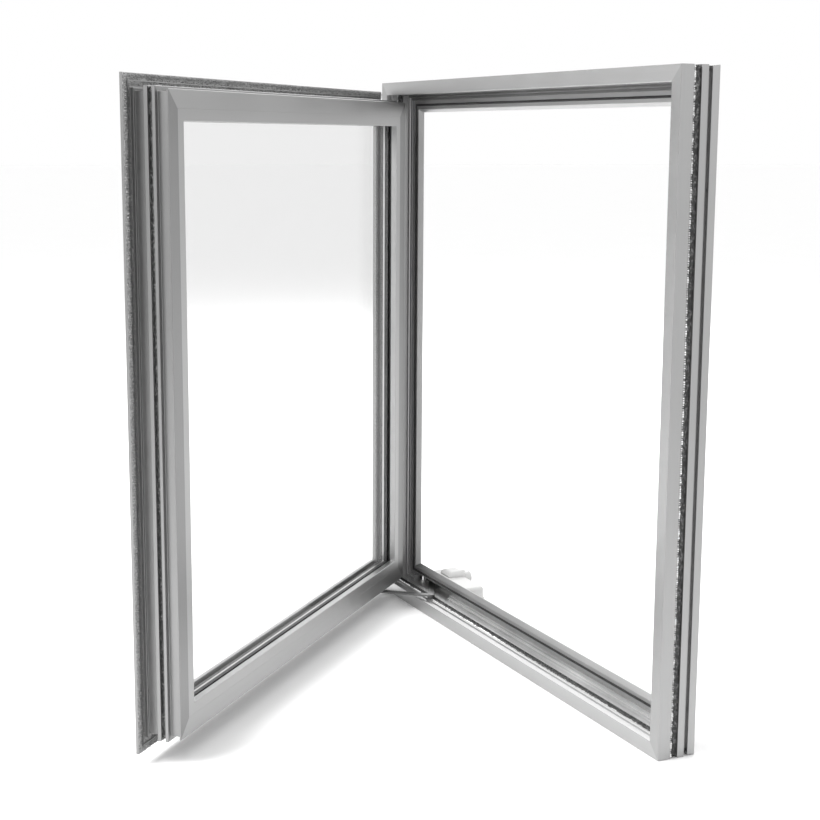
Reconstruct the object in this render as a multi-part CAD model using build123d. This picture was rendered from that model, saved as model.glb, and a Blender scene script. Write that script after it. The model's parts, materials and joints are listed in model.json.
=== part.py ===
"""Crank casement window: aluminium frame, outward-opening sash and roto operator.

Millimetres. X runs along the sill to the right, Y from the weather side to the room, Z up.
The origin is the middle of the sill's underside, in the plane of the frame's outer face.
The sash is hinged on the left jamb and is drawn standing open by REST_OPENING.
"""
from build123d import *
from math import atan2, cos, degrees, dist, radians, sin, tan
import os

# ---------------------------------------------------------------- overall sizes
FRAME_WIDTH = 914.4          # 36 in square window
FRAME_HEIGHT = 914.4
REST_OPENING = 45.0          # degrees that the sash stands open

# ---------------------------------------------------------------- frame section
FACE = 21.0                  # sight line of the outer face
OUTER_DEPTH = 19.5           # outer extrusion, front to back
BREAK_GAP = 11.5             # bridged by the polyamide bars
INNER_DEPTH = 28.0           # inner extrusion, front to back
LIP = 5.0                    # flat lands each side of the drip cove
COVE_DEPTH = 2.2
STOP_DEPTH = 9.5             # snap-in stop on the room side
LEDGE = 9.0                  # upstand in front of the stop, above the rebate floor
LEDGE_DEPTH = 4.8
STOP_LIP = 24.0              # stop's front edge above the rebate floor
STOP_HEIGHT = 30.0           # stop's room-side edge above the rebate floor
KEYWAY_DEPTH = 8.0           # fixing groove in the frame's back
KEYWAY_FRONT = 41.5
KEYWAY_WIDTH = 6.5
FLANGE_SLOPE = 1.2           # room-side flange leans back from the frame's outside
FRAME_SEAL_HEIGHT = 8.4
FRAME_SEAL_PROUD = 1.9

# ---------------------------------------------------------------- sash section
SASH_CLEARANCE = 13.5        # rebate floor to the sash's face outline
SASH_MEMBER = 40.0           # width of the sash's room-side face
SASH_DEPTH = 57.0            # room-side face to the flange's outer face
SASH_SEAL_GAP = 2.2          # closed: sash face to the stop's face
SASH_INNER_DEPTH = 21.2
SASH_BREAK = 6.0
FIN = 3.5                    # how far the two hardware fins stand out
FIN_WIDTH = 4.6
OUTER_FIN_WIDTH = 6.0
SIDE_RECESS = 3.6
OUTER_RECESS = 3.0
FLANGE_REACH = 19.4          # beyond the sash's face outline
FLANGE_THICKNESS = 4.5
FLANGE_ROOT = 4.5            # step between the recess and the flange
PILE_WIDTH = 5.0
PILE_CLEARANCE = 0.3         # closed: pile to the frame's outer face
BEAD_WIDTH = 16.0
BEAD_DEPTH = 10.0
GLAZING_LEG = 6.0
NEAT = 0.1                   # assembly clearance between snapped parts

# ---------------------------------------------------------------- glass
PANE = 4.0
CAVITY = 14.0
INNER_GASKET = 3.0
OUTER_GASKET = 2.5
GASKET_HEIGHT = 5.5
SPACER_HEIGHT = 7.0
EDGE_SEAL = 3.0
BLOCK_LENGTH = 100.0
BLOCK_HEIGHT = 5.0           # lifts the glass off the glazing pocket's floor
BLOCK_INSET = 150.0          # setting block's middle from the sash's end

# ---------------------------------------------------------------- thermal bars
BAR_THICKNESS = 2.4
BAR_BITE = 1.8               # how deep each bar is rolled into the metal
BAR_SET_BACK = 2.6
KEY_ARM = 42.0
KEY_CLEARANCE = 0.2

# ---------------------------------------------------------------- butt hinges
HINGE_LENGTH = 132.0
HINGE_GAP = 4.2              # holds the bearing washer
HINGE_FROM_SILL = 215.0
HINGE_FROM_HEAD = 244.4
BARREL_RADIUS = 6.0
PIN_RADIUS = 3.0
RUNNING = 0.05               # radial running clearance
LEAF = 2.5
KNUCKLE_GAP = 0.6            # barrel to the sash leaf's edge
LEAF_OVERHANG = 1.6          # sash leaf's edge in from the flange's edge
AXIS_RISE = 3.5              # hinge axis in front of the flange's face
LEAF_END = 24.0              # frame leaf runs on past the barrel, to take its screws
SCREW_PITCH = 11.0
SASH_LEAF_SCREWS = 4

# ---------------------------------------------------------------- operator
PIVOT_INSET = 77.2           # arm pivot from the frame's hinge side
PIVOT_BEHIND = 10.0          # arm pivot behind the frame's room-side face
STUD_ALONG = 78.0            # sash stud, along the bottom rail from its hinge end
STUD_BEHIND = 28.0           # sash stud, out from the sash's room-side face
ARM_LIFT = 1.4               # underside of the arm above the rebate floor
ARM_THICKNESS = 2.8
ARM_GAP = 0.3
ARM_WIDTH = 12.0
RIVET_RADIUS = 2.6
PIVOT_PIN = 4.0
HUB_RADIUS = 8.0
STUD_RADIUS = 3.0
STUD_CLEARANCE = 0.3         # the linkage is opened at this pivot
GEAR_TEETH = 40              # for a full circle
GEAR_MODULE = 1.1
GEAR_HEIGHT = 4.0
GEAR_SPAN = 112.0            # degrees of the circle that the toothed wedge covers
WORM_CORE = 3.4
CASE_LEFT_MARGIN = 18.0      # case's end beyond the arm pivot
CASE_CLEARANCE = 2.4         # arm's tip to the case's wall
CASE_DEPTH = 55.0
CASE_DROP = 6.0              # case's underside below the rebate floor
CASE_HEIGHT = 22.5
DOME_RISE = 10.0             # boss over the spindle, above the rest of the case
DOME_WIDTH = 38.0
DOME_DEPTH = 32.0
CASE_WALL = 2.2
CASE_FLOOR = 2.6
CASE_CORNER = 6.0
DOME_CORNER = 9.0
BUSH_WALL = 2.4
SLOT_MARGIN = 20.0           # sill slot's end beyond the arm pivot
SLOT_CLEARANCE = 0.5         # above the gear
CRANK_RADIUS = 58.0
CRANK_POINTS = 192.0         # degrees round from +X, towards +Z
KNOB_RADIUS = 8.5
KNOB_LENGTH = 26.0
KNOB_PIN = 2.5

# ---------------------------------------------------------------- wall fixings
FIXING_RADIUS = 2.1          # in the floor of the fixing groove
FIXING_FROM_END = 157.2

# ---------------------------------------------------------------- worked out
INNER_FRONT = OUTER_DEPTH + BREAK_GAP
FRAME_DEPTH = INNER_FRONT + INNER_DEPTH
STOP_FRONT = FRAME_DEPTH - STOP_DEPTH
SASH_FACE_Y = STOP_FRONT - SASH_SEAL_GAP
SASH_INSET = FACE + SASH_CLEARANCE
SASH_WIDTH = FRAME_WIDTH - 2 * SASH_INSET
SASH_HEIGHT = FRAME_HEIGHT - 2 * SASH_INSET
SASH_LEFT = -SASH_WIDTH / 2
FLANGE_EDGE_X = SASH_LEFT - FLANGE_REACH
FLANGE_Y = SASH_FACE_Y - SASH_DEPTH
HINGE_X = FLANGE_EDGE_X + LEAF_OVERHANG - BARREL_RADIUS - KNUCKLE_GAP
HINGE_Y = FLANGE_Y - AXIS_RISE
POCKET_FLOOR = SASH_MEMBER - BEAD_WIDTH - 2.0
GLASS_EDGE = POCKET_FLOOR + BLOCK_HEIGHT
PANE_FRONT = BEAD_DEPTH + INNER_GASKET
CAVITY_FRONT = PANE_FRONT + PANE
OUTER_PANE = CAVITY_FRONT + CAVITY
OUTER_SEAL = OUTER_PANE + PANE
LEG_FRONT = OUTER_SEAL + OUTER_GASKET
SASH_OUTER_FRONT = SASH_INNER_DEPTH + SASH_BREAK
FLANGE_FACE = SASH_DEPTH - FLANGE_THICKNESS
PIVOT_X = -FRAME_WIDTH / 2 + PIVOT_INSET
PIVOT_Y = FRAME_DEPTH + PIVOT_BEHIND
STUD_X = SASH_LEFT + STUD_ALONG
STUD_Y = SASH_FACE_Y - STUD_BEHIND
ARM_LENGTH = dist((STUD_X, STUD_Y), (HINGE_X, HINGE_Y))
ARM_BOTTOM = FACE + ARM_LIFT
ARM_TOP = ARM_BOTTOM + ARM_THICKNESS
LINK_BOTTOM = ARM_TOP + ARM_GAP
LINK_TOP = LINK_BOTTOM + ARM_THICKNESS
GEAR_PITCH = GEAR_TEETH * GEAR_MODULE / 2
GEAR_BOTTOM = ARM_TOP + 3.4
WORM_Z = GEAR_BOTTOM + GEAR_HEIGHT / 2
WORM_X = PIVOT_X + GEAR_PITCH + GEAR_MODULE + WORM_CORE + 0.3
SLOT_TOP = GEAR_BOTTOM + GEAR_HEIGHT + SLOT_CLEARANCE
SLOT_LEFT = PIVOT_X - SLOT_MARGIN
CASE_LEFT = PIVOT_X - CASE_LEFT_MARGIN
CASE_RIGHT = PIVOT_X + ARM_LENGTH + ARM_WIDTH / 2 + CASE_CLEARANCE + CASE_WALL
CASE_BOTTOM = FACE - CASE_DROP
CASE_TOP = CASE_BOTTOM + CASE_HEIGHT
DOME_TOP = CASE_TOP + DOME_RISE
CASE_FRONT = FRAME_DEPTH
CASE_BACK = FRAME_DEPTH + CASE_DEPTH

# chambers that take the corner keys: lowest and highest, then front and back
FRAME_CHAMBER = (KEYWAY_DEPTH + 2.0, FACE - 2.0, INNER_FRONT + 4.0, FRAME_DEPTH - 2.0)
SASH_CHAMBER = (SIDE_RECESS + 2.0, SASH_MEMBER - BEAD_WIDTH - 4.0,
                SASH_FACE_Y - SASH_INNER_DEPTH + 2.8, SASH_FACE_Y - 4.0)

parts = {}
on_sash = set()              # nodes that swing with the sash, drawn closed at first


def add(name, *solids):
    """Keep the solids of one node, each as a separate body."""
    pieces = []
    for solid in solids:
        pieces.extend(solid.solids())
    parts.setdefault(name, []).extend(pieces)


def add_to_sash(name, *solids):
    add(name, *solids)
    on_sash.add(name)


# ---------------------------------------------------------------- helpers
def outline(points, radius=0.0):
    """A closed face in the XY plane; radius is one value or one per corner."""
    return make_face(FilletPolyline(*points, radius=radius, close=True))


def rectangle(u0, v0, u1, v1, radius=0.0):
    return outline([(u0, v0), (u1, v0), (u1, v1), (u0, v1)], radius)


def box(x0, y0, z0, x1, y1, z1):
    size = (x1 - x0, y1 - y0, z1 - z0)
    return Pos(x0, y0, z0) * Box(*size, align=(Align.MIN, Align.MIN, Align.MIN))


def cylinder_z(x, y, z0, z1, radius):
    low = (Align.CENTER, Align.CENTER, Align.MIN)
    return Pos(x, y, z0) * Cylinder(radius, z1 - z0, align=low)


def cylinder_y(x, z, y0, y1, radius):
    low = (Align.CENTER, Align.CENTER, Align.MIN)
    return Pos(x, y0, z) * Rot(-90, 0, 0) * Cylinder(radius, y1 - y0, align=low)


def cylinder_x(y, z, x0, x1, radius):
    low = (Align.CENTER, Align.CENTER, Align.MIN)
    return Pos(x0, y, z) * Rot(0, 90, 0) * Cylinder(radius, x1 - x0, align=low)


def mitred_bar(section, length, reach):
    """Extrude a section in (depth, height) along X and mitre both ends at 45 degrees."""
    bar = extrude(Plane.YZ * section, amount=length / 2 + reach, both=True)
    half = length / 2
    wedge = outline([
        (-half - reach, -reach),
        (half + reach, -reach),
        (half - 2 * reach, 2 * reach),
        (-half + 2 * reach, 2 * reach),
    ])
    return bar & extrude(Plane.XZ * wedge, amount=200, both=True)


def ring_bars(section, width, height, left, bottom, reach=30.0):
    """The four mitred members of a rectangle, by name."""
    across = mitred_bar(section, width, reach)
    upright = mitred_bar(section, height, reach)
    middle_x = left + width / 2
    middle_z = bottom + height / 2
    return {
        "bottom": Pos(middle_x, 0, bottom) * across,
        "top": Pos(middle_x, 0, bottom + height) * Rot(0, 180, 0) * across,
        "left": Pos(left, 0, middle_z) * Rot(0, 90, 0) * upright,
        "right": Pos(left + width, 0, middle_z) * Rot(0, -90, 0) * upright,
    }


def closed_ring(u0, u1, y0, y1, width, height, left, bottom):
    """A one-piece rectangular ring: height range u0 to u1, depth range y0 to y1."""
    outer = box(left + u0, y0, bottom + u0, left + width - u0, y1, bottom + height - u0)
    inner = box(left + u1, y0 - 1, bottom + u1, left + width - u1, y1 + 1, bottom + height - u1)
    return outer - inner


# Sections are drawn as (depth, height): depth runs to the room, height inwards.
def frame_outer_section():
    cove_start = LIP
    cove_end = OUTER_DEPTH - LIP
    body = outline([
        (0, 0), (OUTER_DEPTH, 0), (OUTER_DEPTH, FACE),
        (cove_end, FACE), (cove_end - 1.5, FACE - COVE_DEPTH),
        (cove_start + 3.0, FACE - COVE_DEPTH), (cove_start, FACE), (0, FACE),
    ], [0, 0.5, 0.8, 0.8, 1.2, 1.2, 0.8, 0.5])
    body -= rectangle(2.0, 2.0, OUTER_DEPTH - 4.2, FACE - COVE_DEPTH - 2.0, 0.8)
    for low in frame_bar_heights():
        body -= rectangle(OUTER_DEPTH - BAR_BITE, low, OUTER_DEPTH + 1, low + BAR_THICKNESS)
    return body


def frame_bar_heights():
    return (BAR_SET_BACK, FACE - BAR_SET_BACK - BAR_THICKNESS)


def frame_inner_section():
    ledge_back = STOP_FRONT
    ledge_front = ledge_back - LEDGE_DEPTH
    keyway_back = KEYWAY_FRONT + KEYWAY_WIDTH
    body = outline([
        (INNER_FRONT, 0), (KEYWAY_FRONT, 0), (KEYWAY_FRONT, KEYWAY_DEPTH),
        (keyway_back, KEYWAY_DEPTH), (keyway_back, FLANGE_SLOPE), (FRAME_DEPTH, 0),
        (FRAME_DEPTH, FACE), (ledge_back, FACE), (ledge_back, FACE + LEDGE),
        (ledge_front, FACE + LEDGE), (ledge_front, FACE + 4.5),
        (ledge_front - 3.0, FACE + 4.0), (ledge_front - 3.0, FACE), (INNER_FRONT, FACE),
    ], [0.5, 0.5, 0.3, 0.3, 0.5, 1.2, 0.3, 0, 0.3, 0.8, 0.5, 0.8, 0.5, 0.5])
    low, high, front, back = FRAME_CHAMBER
    body -= rectangle(front, low, back, high, 0.5)
    for low in frame_bar_heights():
        body -= rectangle(INNER_FRONT - 1, low, INNER_FRONT + BAR_BITE, low + BAR_THICKNESS)
    return body


def stop_section():
    front = STOP_FRONT + NEAT
    body = outline([
        (front, FACE + NEAT), (FRAME_DEPTH, FACE + NEAT), (FRAME_DEPTH, FACE + STOP_HEIGHT),
        (front + 1.4, FACE + STOP_LIP + 1.0), (front, FACE + STOP_LIP),
    ], [0, 0.5, 1.0, 1.0, 0.6])
    body -= rectangle(front + 3.4, FACE + 2.2, FRAME_DEPTH - 1.6, FACE + STOP_LIP - 2.0, 0.5)
    seal_low = frame_seal_low()
    body -= rectangle(front - 1, seal_low + 3, front + 1.8, seal_low + FRAME_SEAL_HEIGHT - 3)
    return body


def frame_seal_low():
    return FACE + STOP_LIP - 3.0 - FRAME_SEAL_HEIGHT


def depth(n):
    """Depth in the closed window of a point n behind the sash's room-side face."""
    return SASH_FACE_Y - n


def sash_outline(points, radii):
    return outline([(depth(n), t) for n, t in points], radii)


def sash_bar_heights():
    return (0.2, POCKET_FLOOR - 3.0)


def sash_inner_section():
    seat = SASH_MEMBER - BEAD_WIDTH
    fin_front = SASH_INNER_DEPTH - FIN_WIDTH
    body = sash_outline([
        (0, 0), (0, seat), (2.5, seat), (2.5, POCKET_FLOOR), (SASH_INNER_DEPTH, POCKET_FLOOR),
        (SASH_INNER_DEPTH, -FIN), (fin_front, -FIN), (fin_front, SIDE_RECESS),
        (2.0, SIDE_RECESS), (2.0, 0),
    ], [0.8, 0.1, 0.2, 0.2, 0.3, 0.8, 0.8, 0.8, 0.3, 0.5])
    low, high, front, back = SASH_CHAMBER
    body -= rectangle(front, low, back, high, 0.5)
    edge = depth(SASH_INNER_DEPTH)
    for low in sash_bar_heights():
        body -= rectangle(edge - 1, low, edge + BAR_BITE, low + BAR_THICKNESS)
    return body


def sash_outer_section():
    front = SASH_OUTER_FRONT
    fin_back = front + OUTER_FIN_WIDTH
    root = FLANGE_FACE - FLANGE_ROOT
    pocket = POCKET_FLOOR
    pile_mid = pile_top() - PILE_WIDTH / 2
    body = sash_outline([
        (front, -FIN), (front, pocket), (LEG_FRONT, pocket), (LEG_FRONT, SASH_MEMBER),
        (LEG_FRONT + GLAZING_LEG, SASH_MEMBER), (SASH_DEPTH, -FLANGE_REACH + 12.0),
        (SASH_DEPTH, -FLANGE_REACH), (FLANGE_FACE, -FLANGE_REACH),
        (FLANGE_FACE, -1.0), (root, -1.0), (root, OUTER_RECESS),
        (fin_back, OUTER_RECESS), (fin_back, -FIN),
    ], [0.8, 0.3, 0.3, 0.6, 0.8, 1.0, 1.0, 0.6, 0.4, 0.6, 0.4, 0.6, 0.8])
    rib_low = pile_top() + 3.5
    body += rectangle(depth(FLANGE_FACE + 0.5), rib_low, depth(FLANGE_FACE - 1.8), rib_low + 1.4)
    body -= rectangle(depth(root - 1.5), OUTER_RECESS + 2, depth(front + 2.8), pocket - 4.5, 0.5)
    body -= rectangle(depth(FLANGE_FACE + 1.2), pile_mid - 1.5, depth(FLANGE_FACE - 1),
                      pile_mid + 1.5)
    edge = depth(front)
    for low in sash_bar_heights():
        body -= rectangle(edge - BAR_BITE, low, edge + 1, low + BAR_THICKNESS)
    return body


def pile_top():
    """Inner edge of the flange's pile strip, from the sash's face outline."""
    return -FLANGE_REACH + 0.6 + PILE_WIDTH


def bead_section():
    foot = SASH_MEMBER - BEAD_WIDTH
    body = sash_outline([
        (0, foot + NEAT), (0, SASH_MEMBER), (BEAD_DEPTH, SASH_MEMBER),
        (BEAD_DEPTH, POCKET_FLOOR + NEAT), (7.0, POCKET_FLOOR + NEAT), (7.0, foot + NEAT),
    ], [0.1, 1.2, 0.4, 0.2, 0.2, 0.2])
    body -= rectangle(depth(BEAD_DEPTH - 1.5), foot + 3, depth(1.6), SASH_MEMBER - 1.7, 0.5)
    return body


# ---------------------------------------------------------------- frame
SIDES = {"top": "head", "bottom": "sill", "left": "jamb_left", "right": "jamb_right"}
SASH_SIDES = {
    "top": "top_rail", "bottom": "bottom_rail", "left": "hinge_stile", "right": "lock_stile",
}


def corner_keys(width, height, left, bottom, low, high, y0, y1):
    """Four L-shaped cleats that fill the chamber, low to high and y0 to y1, at the corners."""
    low, high = low + KEY_CLEARANCE, high - KEY_CLEARANCE
    y0, y1 = y0 + KEY_CLEARANCE, y1 - KEY_CLEARANCE
    keys = []
    for corner_x, toward_x in ((left, 1), (left + width, -1)):
        for corner_z, toward_z in ((bottom, 1), (bottom + height, -1)):
            foot = [
                (low, low), (low + KEY_ARM, low), (low + KEY_ARM, high),
                (high, high), (high, low + KEY_ARM), (low, low + KEY_ARM),
            ]
            face = outline([(corner_x + toward_x * u, corner_z + toward_z * v) for u, v in foot])
            solid = extrude(Plane.XZ * face, amount=200, both=True)
            keys.append(solid & box(-2000, y0, -100, 2000, y1, 3000))
    return keys


def build_frame():
    size = (FRAME_WIDTH, FRAME_HEIGHT, -FRAME_WIDTH / 2, 0)
    for side, solid in ring_bars(frame_outer_section(), *size).items():
        add(f"frame_{SIDES[side]}_outer", solid)
    keyway_middle = KEYWAY_FRONT + KEYWAY_WIDTH / 2
    wall_middle = (KEYWAY_DEPTH + FRAME_CHAMBER[0]) / 2
    slot = box(SLOT_LEFT, STOP_FRONT - 15, FACE, CASE_RIGHT, FRAME_DEPTH + 5, SLOT_TOP)
    for side, solid in ring_bars(frame_inner_section(), *size).items():
        if side == "bottom":
            solid -= slot
        if side in ("left", "right"):
            for z in (FIXING_FROM_END, FRAME_HEIGHT - FIXING_FROM_END):
                for x in (-FRAME_WIDTH / 2 + wall_middle, FRAME_WIDTH / 2 - wall_middle):
                    solid -= cylinder_x(keyway_middle, z, x - 2.5, x + 2.5, FIXING_RADIUS)
        add(f"frame_{SIDES[side]}_inner", solid)
    for side, solid in ring_bars(stop_section(), *size).items():
        if side == "bottom":
            solid -= slot
        add(f"stop_{SIDES[side]}", solid)
    for low in frame_bar_heights():
        bar = rectangle(OUTER_DEPTH - BAR_BITE + NEAT, low + NEAT / 2,
                        INNER_FRONT + BAR_BITE - NEAT, low + BAR_THICKNESS - NEAT / 2)
        add("frame_thermal_bars", *ring_bars(bar, *size).values())
    add("frame_corner_keys", *corner_keys(*size, *FRAME_CHAMBER))
    seal_low = frame_seal_low()
    front = STOP_FRONT + NEAT
    seal = closed_ring(seal_low, seal_low + FRAME_SEAL_HEIGHT, front - FRAME_SEAL_PROUD, front, *size)
    root = closed_ring(seal_low + 3 + NEAT, seal_low + FRAME_SEAL_HEIGHT - 3 - NEAT,
                       front - 1, front + 1.8 - NEAT, *size)
    add("frame_seal", seal + root)


# ---------------------------------------------------------------- sash, drawn closed
def build_sash():
    size = (SASH_WIDTH, SASH_HEIGHT, SASH_LEFT, SASH_INSET)
    for side, solid in ring_bars(sash_inner_section(), *size).items():
        add_to_sash(f"sash_{SASH_SIDES[side]}_inner", solid)
    for side, solid in ring_bars(sash_outer_section(), *size).items():
        add_to_sash(f"sash_{SASH_SIDES[side]}_outer", solid)
    add_to_sash("glazing_beads", *ring_bars(bead_section(), *size).values())
    near = depth(SASH_INNER_DEPTH) + BAR_BITE - NEAT
    far = depth(SASH_OUTER_FRONT) - BAR_BITE + NEAT
    for low in sash_bar_heights():
        bar = rectangle(far, low + NEAT / 2, near, low + BAR_THICKNESS - NEAT / 2)
        add_to_sash("sash_thermal_bars", *ring_bars(bar, *size).values())
    add_to_sash("sash_corner_keys", *corner_keys(*size, *SASH_CHAMBER))
    pile_low = -FLANGE_REACH + 0.6
    pile_mid = pile_low + PILE_WIDTH / 2
    pile = closed_ring(pile_low, pile_low + PILE_WIDTH, depth(FLANGE_FACE), -PILE_CLEARANCE, *size)
    backing = closed_ring(pile_mid - 1.5 + NEAT, pile_mid + 1.5 - NEAT,
                          depth(FLANGE_FACE + 1.2) + NEAT, depth(FLANGE_FACE) + 0.5, *size)
    add_to_sash("sash_pile_seal", pile + backing)
    build_glass(size)


def build_glass(size):
    for name, front in (("glass_inner_pane", PANE_FRONT), ("glass_outer_pane", OUTER_PANE)):
        add_to_sash(name, glass_box(GLASS_EDGE, depth(front + PANE), depth(front)))
    inside = depth(CAVITY_FRONT)
    outside = depth(OUTER_PANE)
    spacer_low = GLASS_EDGE + EDGE_SEAL
    spacer_high = spacer_low + SPACER_HEIGHT
    add_to_sash("glass_spacer", closed_ring(spacer_low, spacer_high, outside, inside, *size))
    add_to_sash("glass_edge_seal", closed_ring(GLASS_EDGE, spacer_low, outside, inside, *size))
    gasket_high = SASH_MEMBER - 0.5
    gasket_low = gasket_high - GASKET_HEIGHT
    add_to_sash("glazing_gasket_inner",
        closed_ring(gasket_low, gasket_high, depth(PANE_FRONT), depth(BEAD_DEPTH), *size))
    add_to_sash("glazing_gasket_outer",
        closed_ring(gasket_low, gasket_high, depth(LEG_FRONT), depth(OUTER_SEAL), *size))
    floor = SASH_INSET + POCKET_FLOOR
    ends = (SASH_LEFT + BLOCK_INSET, SASH_LEFT + SASH_WIDTH - BLOCK_INSET)
    for middle in ends:
        add_to_sash("glass_setting_blocks",
            box(middle - BLOCK_LENGTH / 2, depth(OUTER_SEAL - 1), floor,
                middle + BLOCK_LENGTH / 2, depth(PANE_FRONT + 1), SASH_INSET + GLASS_EDGE))


def glass_box(inset, y0, y1):
    low = SASH_INSET + inset
    return box(SASH_LEFT + inset, y0, low, -SASH_LEFT - inset, y1, FRAME_HEIGHT - low)


# ---------------------------------------------------------------- hinges, drawn closed
def leaf_screw(x, z, y_head, y_tip):
    """A countersunk screw through a leaf, head on the weather side."""
    shank = cylinder_y(x, z, y_head, y_tip, 1.6)
    return shank + Pos(x, y_head + 0.9, z) * Rot(-90, 0, 0) * Cone(3.0, 1.6, 1.8)


def build_hinge(middle):
    low = middle - HINGE_LENGTH / 2
    high = middle + HINGE_LENGTH / 2
    frame_knuckle = (low, middle - HINGE_GAP / 2)
    sash_knuckle = (middle + HINGE_GAP / 2, high)
    bore = cylinder_z(HINGE_X, HINGE_Y, low - 1, high + 1, PIN_RADIUS)
    running_bore = cylinder_z(HINGE_X, HINGE_Y, low - 1, high + 1, PIN_RADIUS + RUNNING)

    plate_left = -FRAME_WIDTH / 2 + 0.4
    plate_right = FLANGE_EDGE_X - 0.3
    web_left = HINGE_X - BARREL_RADIUS - 1.8
    frame_leaf = box(plate_left, -LEAF, low - LEAF_END, plate_right, 0, high + LEAF_END)
    frame_leaf += box(web_left, HINGE_Y, frame_knuckle[0], web_left + 3.5, 0, frame_knuckle[1])
    frame_leaf += cylinder_z(HINGE_X, HINGE_Y, *frame_knuckle, BARREL_RADIUS)
    frame_leaf -= bore
    heights = (low - 6, low - 6 - SCREW_PITCH, high + 6, high + 6 + SCREW_PITCH)
    frame_screws = [leaf_screw((plate_left + plate_right) / 2, z, -LEAF, 8.0) for z in heights]
    for screw in frame_screws:
        frame_leaf -= screw
    add("hinge_frame_leaves", frame_leaf)

    flange_y = FLANGE_Y
    leaf_start = FLANGE_EDGE_X + LEAF_OVERHANG
    leaf_end = FLANGE_EDGE_X + 11.0
    sash_leaf = box(leaf_start, flange_y - LEAF, low, leaf_end, flange_y, high)
    sash_leaf += box(HINGE_X, flange_y - LEAF, sash_knuckle[0], leaf_end, flange_y, high)
    sash_leaf += cylinder_z(HINGE_X, HINGE_Y, *sash_knuckle, BARREL_RADIUS)
    sash_leaf -= running_bore
    pitch = (HINGE_LENGTH - 24) / (SASH_LEAF_SCREWS - 1)
    screw_x = (leaf_start + leaf_end) / 2 + 0.2
    sash_screws = [leaf_screw(screw_x, low + 12 + i * pitch, flange_y - LEAF, flange_y + 4.0)
                   for i in range(SASH_LEAF_SCREWS)]
    for screw in sash_screws:
        sash_leaf -= screw
    add_to_sash("hinge_sash_leaves", sash_leaf)

    pin = cylinder_z(HINGE_X, HINGE_Y, low + 0.5, high + 2.2, PIN_RADIUS)
    pin += cylinder_z(HINGE_X, HINGE_Y, high + 0.2, high + 2.2, PIN_RADIUS + 1.6)
    add("hinge_pins", pin)
    washer = cylinder_z(HINGE_X, HINGE_Y, frame_knuckle[1], sash_knuckle[0] - 0.1, BARREL_RADIUS)
    add("hinge_washers", washer - running_bore)
    drill("frame_jamb_left_outer", frame_screws)
    drill("sash_hinge_stile_outer", sash_screws)
    add("hinge_frame_screws", *frame_screws)
    add_to_sash("hinge_sash_screws", *sash_screws)


def drill(name, tools):
    """Cut the tools out of every solid of a node."""
    solids = []
    for solid in parts[name]:
        for tool in tools:
            solid = solid - tool
        solids.extend(solid.solids())
    parts[name] = solids


# ---------------------------------------------------------------- operator
def turned_about_hinge(x, y, angle):
    """Where a point of the closed sash stands when the sash is open by angle degrees."""
    c = cos(radians(angle))
    s = sin(radians(angle))
    dx = x - HINGE_X
    dy = y - HINGE_Y
    return HINGE_X + c * dx + s * dy, HINGE_Y - s * dx + c * dy


STUD_REST = turned_about_hinge(STUD_X, STUD_Y, REST_OPENING)
ELBOW_REST = (PIVOT_X + STUD_REST[0] - HINGE_X, PIVOT_Y + STUD_REST[1] - HINGE_Y)


def strap(start, end, z0, z1):
    """A flat bar with round ends between two pivots."""
    face = SlotCenterToCenter(dist(start, end), ARM_WIDTH)
    angle = degrees(atan2(end[1] - start[1], end[0] - start[0]))
    middle = Pos((start[0] + end[0]) / 2, (start[1] + end[1]) / 2, z0)
    return middle * Rot(0, 0, angle) * extrude(face, amount=z1 - z0)


def gear_sector():
    """Straight-sided teeth on a wedge of the pitch circle, around the arm's pivot."""
    root = GEAR_PITCH - 1.25 * GEAR_MODULE
    tip = GEAR_PITCH + GEAR_MODULE
    spread = 60 * tan(radians(GEAR_SPAN / 2))
    sector = Circle(root) & outline([(0, 0), (60, -spread), (60, spread)])
    sector += Circle(HUB_RADIUS)
    step = 360 / GEAR_TEETH
    count = int(GEAR_SPAN / 2 / step)
    for i in range(-count, count + 1):
        tooth = outline([(root - 1, -1.15), (tip, -0.45), (tip, 0.45), (root - 1, 1.15)])
        sector += Rot(0, 0, i * step) * tooth
    return Pos(PIVOT_X, PIVOT_Y, GEAR_BOTTOM) * extrude(sector, amount=GEAR_HEIGHT)


def build_linkage():
    pivot = (PIVOT_X, PIVOT_Y)
    bore = cylinder_z(*pivot, 0, 60, PIVOT_PIN + RUNNING)
    arm = strap(pivot, ELBOW_REST, ARM_BOTTOM, ARM_TOP)
    arm += cylinder_z(*pivot, ARM_BOTTOM, ARM_TOP, HUB_RADIUS)
    arm -= bore
    arm -= cylinder_z(*ELBOW_REST, 0, 60, RIVET_RADIUS)
    add("drive_arm", arm)
    gear = gear_sector() + cylinder_z(*pivot, ARM_TOP, GEAR_BOTTOM, HUB_RADIUS)
    add("drive_gear", gear - bore)

    link = strap(ELBOW_REST, STUD_REST, LINK_BOTTOM, LINK_TOP)
    link -= cylinder_z(*ELBOW_REST, 0, 60, RIVET_RADIUS + RUNNING)
    link -= cylinder_z(*STUD_REST, 0, 60, STUD_RADIUS + STUD_CLEARANCE)
    add("link_arm", link)
    rivet = cylinder_z(*ELBOW_REST, ARM_BOTTOM - 0.8, LINK_TOP + 0.6, RIVET_RADIUS)
    rivet += cylinder_z(*ELBOW_REST, ARM_BOTTOM - 0.8, ARM_BOTTOM, RIVET_RADIUS + 2)
    rivet += cylinder_z(*ELBOW_REST, LINK_TOP + 0.15, LINK_TOP + 0.6, RIVET_RADIUS + 2)
    add("elbow_rivet", rivet)


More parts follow.
